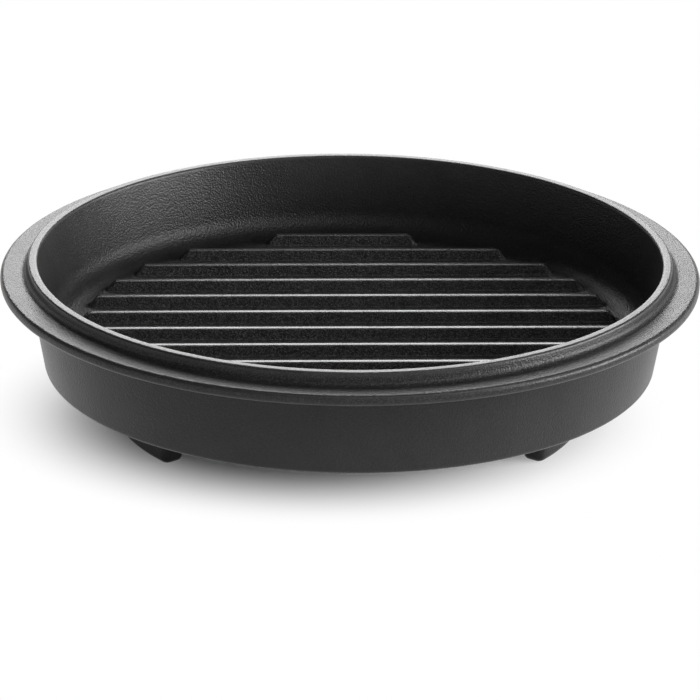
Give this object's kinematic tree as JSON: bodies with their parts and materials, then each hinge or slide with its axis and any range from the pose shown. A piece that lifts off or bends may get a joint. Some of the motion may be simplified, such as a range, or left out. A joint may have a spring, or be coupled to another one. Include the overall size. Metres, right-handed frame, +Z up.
{
  "type": "dutch oven grill-pan lid",
  "caption": "Round ribbed grill-pan lid of a dutch oven, with a locating lip, a flat flange and arc-shaped grips that serve as handles or as feet.",
  "frame": {"origin": "on the ground under the middle of the lid, at the grips' resting faces", "axes": "+Z up out of the open pan, +X along the ribs towards the right grip, -Y towards the picture's camera"},
  "size_m": [0.2998, 0.2998, 0.0703],
  "materials": {
    "lid_enamel": "fine-grained satin black enamel",
    "grip_enamel": "satin black enamel",
    "screw_steel": "plain stainless steel",
    "washer_steel": "plain spring steel"
  },
  "bodies": {
    "root": {"grill_lid": "lid_enamel", "grip_left": "grip_enamel", "grip_right": "grip_enamel", "grip_screw_left_front": "screw_steel", "grip_screw_left_back": "screw_steel", "grip_screw_right_front": "screw_steel", "grip_screw_right_back": "screw_steel", "lock_washer_left_front": "washer_steel", "lock_washer_left_back": "washer_steel", "lock_washer_right_front": "washer_steel", "lock_washer_right_back": "washer_steel"}
  },
  "joints": []
}
